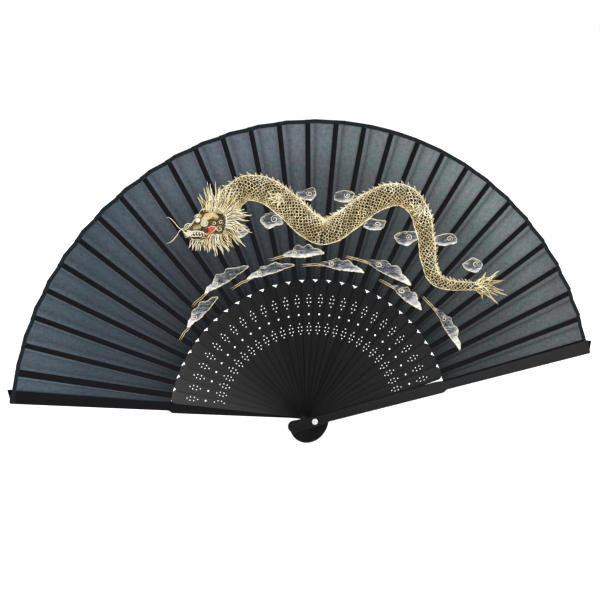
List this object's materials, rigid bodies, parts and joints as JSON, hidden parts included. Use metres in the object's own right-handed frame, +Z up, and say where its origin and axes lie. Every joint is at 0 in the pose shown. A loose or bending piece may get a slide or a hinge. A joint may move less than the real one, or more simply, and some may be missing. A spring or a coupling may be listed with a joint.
{
  "type": "folding fan",
  "caption": "Pleated silk folding hand fan on black-stained perforated ribs, opening and closing about one rivet between two guards.",
  "frame": {"origin": "on the rivet's axis, halfway through the stack of ribs", "axes": "+X across the open fan to the front guard's side, +Y along the rivet from the front guard to the back guard, +Z up the middle of the open fan"},
  "size_m": [0.4234, 0.029, 0.231],
  "materials": {
    "rib_wood": "black-stained, satin, fine grain along the rib",
    "guard_wood": "black-stained and lightly polished, softened edges",
    "silk": "thin black silk gauze, semi-transparent, slate blue-grey against the light",
    "binding": "black woven edge tape",
    "gold_paint": "fine gold line painting on the silk",
    "silver_paint": "thin silver-grey brushed wash on the silk",
    "steel": "bright rivet heads with a turned dimple"
  },
  "bodies": {
    "back_guard": {"back_guard": "guard_wood", "rivet": "steel", "leaf_pleat_01": "silk"},
    "rib_01": {"rib_01": "rib_wood", "leaf_pleat_02": "silk"},
    "rib_02": {"rib_02": "rib_wood", "leaf_pleat_03": "silk"},
    "rib_03": {"rib_03": "rib_wood", "leaf_pleat_04": "silk"},
    "rib_04": {"rib_04": "rib_wood", "leaf_pleat_05": "silk"},
    "rib_05": {"rib_05": "rib_wood", "leaf_pleat_06": "silk"},
    "rib_06": {"rib_06": "rib_wood", "leaf_pleat_07": "silk"},
    "rib_07": {"rib_07": "rib_wood", "leaf_pleat_08": "silk"},
    "rib_08": {"rib_08": "rib_wood", "leaf_pleat_09": "silk"},
    "rib_09": {"rib_09": "rib_wood", "leaf_pleat_10": "silk"},
    "rib_10": {"rib_10": "rib_wood", "leaf_pleat_11": "silk"},
    "rib_11": {"rib_11": "rib_wood", "leaf_pleat_12": "silk"},
    "rib_12": {"rib_12": "rib_wood", "leaf_pleat_13": "silk"},
    "rib_13": {"rib_13": "rib_wood", "leaf_pleat_14": "silk"},
    "rib_14": {"rib_14": "rib_wood", "leaf_pleat_15": "silk"},
    "rib_15": {"rib_15": "rib_wood", "leaf_pleat_16": "silk"},
    "rib_16": {"rib_16": "rib_wood", "leaf_pleat_17": "silk"},
    "rib_17": {"rib_17": "rib_wood", "leaf_pleat_18": "silk"},
    "rib_18": {"rib_18": "rib_wood", "leaf_pleat_19": "silk"},
    "rib_19": {"rib_19": "rib_wood", "leaf_pleat_20": "silk"},
    "rib_20": {"rib_20": "rib_wood", "leaf_pleat_21": "silk"},
    "rib_21": {"rib_21": "rib_wood", "leaf_pleat_22": "silk"},
    "rib_22": {"rib_22": "rib_wood", "leaf_pleat_23": "silk"},
    "rib_23": {"rib_23": "rib_wood", "leaf_pleat_24": "silk"},
    "rib_24": {"rib_24": "rib_wood", "leaf_pleat_25": "silk"},
    "rib_25": {"rib_25": "rib_wood", "leaf_pleat_26": "silk"},
    "rib_26": {"rib_26": "rib_wood", "leaf_pleat_27": "silk"},
    "rib_27": {"rib_27": "rib_wood", "leaf_pleat_28": "silk"},
    "rib_28": {"rib_28": "rib_wood", "leaf_pleat_29": "silk"},
    "front_guard": {"front_guard": "guard_wood"}
  },
  "joints": [
    {"name": "front_guard_swing", "type": "hinge", "parent": "back_guard", "child": "front_guard", "pos_m": [0, 0, 0], "axis": [0, -1, 0], "range_deg": [0, 161.6]},
    {"name": "rib_01_swing", "type": "hinge", "parent": "back_guard", "child": "rib_01", "pos_m": [0, 0, 0], "axis": [0, -1, 0], "range_deg": [0, 4.51]},
    {"name": "rib_02_swing", "type": "hinge", "parent": "back_guard", "child": "rib_02", "pos_m": [0, 0, 0], "axis": [0, -1, 0], "range_deg": [0, 10.11]},
    {"name": "rib_03_swing", "type": "hinge", "parent": "back_guard", "child": "rib_03", "pos_m": [0, 0, 0], "axis": [0, -1, 0], "range_deg": [0, 15.71]},
    {"name": "rib_04_swing", "type": "hinge", "parent": "back_guard", "child": "rib_04", "pos_m": [0, 0, 0], "axis": [0, -1, 0], "range_deg": [0, 21.31]},
    {"name": "rib_05_swing", "type": "hinge", "parent": "back_guard", "child": "rib_05", "pos_m": [0, 0, 0], "axis": [0, -1, 0], "range_deg": [0, 26.91]},
    {"name": "rib_06_swing", "type": "hinge", "parent": "back_guard", "child": "rib_06", "pos_m": [0, 0, 0], "axis": [0, -1, 0], "range_deg": [0, 32.51]},
    {"name": "rib_07_swing", "type": "hinge", "parent": "back_guard", "child": "rib_07", "pos_m": [0, 0, 0], "axis": [0, -1, 0], "range_deg": [0, 38.11]},
    {"name": "rib_08_swing", "type": "hinge", "parent": "back_guard", "child": "rib_08", "pos_m": [0, 0, 0], "axis": [0, -1, 0], "range_deg": [0, 43.71]},
    {"name": "rib_09_swing", "type": "hinge", "parent": "back_guard", "child": "rib_09", "pos_m": [0, 0, 0], "axis": [0, -1, 0], "range_deg": [0, 49.31]},
    {"name": "rib_10_swing", "type": "hinge", "parent": "back_guard", "child": "rib_10", "pos_m": [0, 0, 0], "axis": [0, -1, 0], "range_deg": [0, 54.91]},
    {"name": "rib_11_swing", "type": "hinge", "parent": "back_guard", "child": "rib_11", "pos_m": [0, 0, 0], "axis": [0, -1, 0], "range_deg": [0, 60.51]},
    {"name": "rib_12_swing", "type": "hinge", "parent": "back_guard", "child": "rib_12", "pos_m": [0, 0, 0], "axis": [0, -1, 0], "range_deg": [0, 66.11]},
    {"name": "rib_13_swing", "type": "hinge", "parent": "back_guard", "child": "rib_13", "pos_m": [0, 0, 0], "axis": [0, -1, 0], "range_deg": [0, 71.71]},
    {"name": "rib_14_swing", "type": "hinge", "parent": "back_guard", "child": "rib_14", "pos_m": [0, 0, 0], "axis": [0, -1, 0], "range_deg": [0, 77.31]},
    {"name": "rib_15_swing", "type": "hinge", "parent": "back_guard", "child": "rib_15", "pos_m": [0, 0, 0], "axis": [0, -1, 0], "range_deg": [0, 82.91]},
    {"name": "rib_16_swing", "type": "hinge", "parent": "back_guard", "child": "rib_16", "pos_m": [0, 0, 0], "axis": [0, -1, 0], "range_deg": [0, 88.51]},
    {"name": "rib_17_swing", "type": "hinge", "parent": "back_guard", "child": "rib_17", "pos_m": [0, 0, 0], "axis": [0, -1, 0], "range_deg": [0, 94.11]},
    {"name": "rib_18_swing", "type": "hinge", "parent": "back_guard", "child": "rib_18", "pos_m": [0, 0, 0], "axis": [0, -1, 0], "range_deg": [0, 99.71]},
    {"name": "rib_19_swing", "type": "hinge", "parent": "back_guard", "child": "rib_19", "pos_m": [0, 0, 0], "axis": [0, -1, 0], "range_deg": [0, 105.31]},
    {"name": "rib_20_swing", "type": "hinge", "parent": "back_guard", "child": "rib_20", "pos_m": [0, 0, 0], "axis": [0, -1, 0], "range_deg": [0, 110.91]},
    {"name": "rib_21_swing", "type": "hinge", "parent": "back_guard", "child": "rib_21", "pos_m": [0, 0, 0], "axis": [0, -1, 0], "range_deg": [0, 116.51]},
    {"name": "rib_22_swing", "type": "hinge", "parent": "back_guard", "child": "rib_22", "pos_m": [0, 0, 0], "axis": [0, -1, 0], "range_deg": [0, 122.11]},
    {"name": "rib_23_swing", "type": "hinge", "parent": "back_guard", "child": "rib_23", "pos_m": [0, 0, 0], "axis": [0, -1, 0], "range_deg": [0, 127.71]},
    {"name": "rib_24_swing", "type": "hinge", "parent": "back_guard", "child": "rib_24", "pos_m": [0, 0, 0], "axis": [0, -1, 0], "range_deg": [0, 133.31]},
    {"name": "rib_25_swing", "type": "hinge", "parent": "back_guard", "child": "rib_25", "pos_m": [0, 0, 0], "axis": [0, -1, 0], "range_deg": [0, 138.91]},
    {"name": "rib_26_swing", "type": "hinge", "parent": "back_guard", "child": "rib_26", "pos_m": [0, 0, 0], "axis": [0, -1, 0], "range_deg": [0, 144.51]},
    {"name": "rib_27_swing", "type": "hinge", "parent": "back_guard", "child": "rib_27", "pos_m": [0, 0, 0], "axis": [0, -1, 0], "range_deg": [0, 150.11]},
    {"name": "rib_28_swing", "type": "hinge", "parent": "back_guard", "child": "rib_28", "pos_m": [0, 0, 0], "axis": [0, -1, 0], "range_deg": [0, 155.71]}
  ],
  "couplings": [
    {"joint": "rib_01_swing", "follows": "front_guard_swing", "ratio": 0.027846},
    {"joint": "rib_02_swing", "follows": "front_guard_swing", "ratio": 0.0625},
    {"joint": "rib_03_swing", "follows": "front_guard_swing", "ratio": 0.097154},
    {"joint": "rib_04_swing", "follows": "front_guard_swing", "ratio": 0.13181},
    {"joint": "rib_05_swing", "follows": "front_guard_swing", "ratio": 0.16646},
    {"joint": "rib_06_swing", "follows": "front_guard_swing", "ratio": 0.20111},
    {"joint": "rib_07_swing", "follows": "front_guard_swing", "ratio": 0.23577},
    {"joint": "rib_08_swing", "follows": "front_guard_swing", "ratio": 0.27042},
    {"joint": "rib_09_swing", "follows": "front_guard_swing", "ratio": 0.30507},
    {"joint": "rib_10_swing", "follows": "front_guard_swing", "ratio": 0.33973},
    {"joint": "rib_11_swing", "follows": "front_guard_swing", "ratio": 0.37438},
    {"joint": "rib_12_swing", "follows": "front_guard_swing", "ratio": 0.40903},
    {"joint": "rib_13_swing", "follows": "front_guard_swing", "ratio": 0.44369},
    {"joint": "rib_14_swing", "follows": "front_guard_swing", "ratio": 0.47834},
    {"joint": "rib_15_swing", "follows": "front_guard_swing", "ratio": 0.51299},
    {"joint": "rib_16_swing", "follows": "front_guard_swing", "ratio": 0.54765},
    {"joint": "rib_17_swing", "follows": "front_guard_swing", "ratio": 0.5823},
    {"joint": "rib_18_swing", "follows": "front_guard_swing", "ratio": 0.61696},
    {"joint": "rib_19_swing", "follows": "front_guard_swing", "ratio": 0.65161},
    {"joint": "rib_20_swing", "follows": "front_guard_swing", "ratio": 0.68626},
    {"joint": "rib_21_swing", "follows": "front_guard_swing", "ratio": 0.72092},
    {"joint": "rib_22_swing", "follows": "front_guard_swing", "ratio": 0.75557},
    {"joint": "rib_23_swing", "follows": "front_guard_swing", "ratio": 0.79022},
    {"joint": "rib_24_swing", "follows": "front_guard_swing", "ratio": 0.82488},
    {"joint": "rib_25_swing", "follows": "front_guard_swing", "ratio": 0.85953},
    {"joint": "rib_26_swing", "follows": "front_guard_swing", "ratio": 0.89418},
    {"joint": "rib_27_swing", "follows": "front_guard_swing", "ratio": 0.92884},
    {"joint": "rib_28_swing", "follows": "front_guard_swing", "ratio": 0.96349}
  ]
}
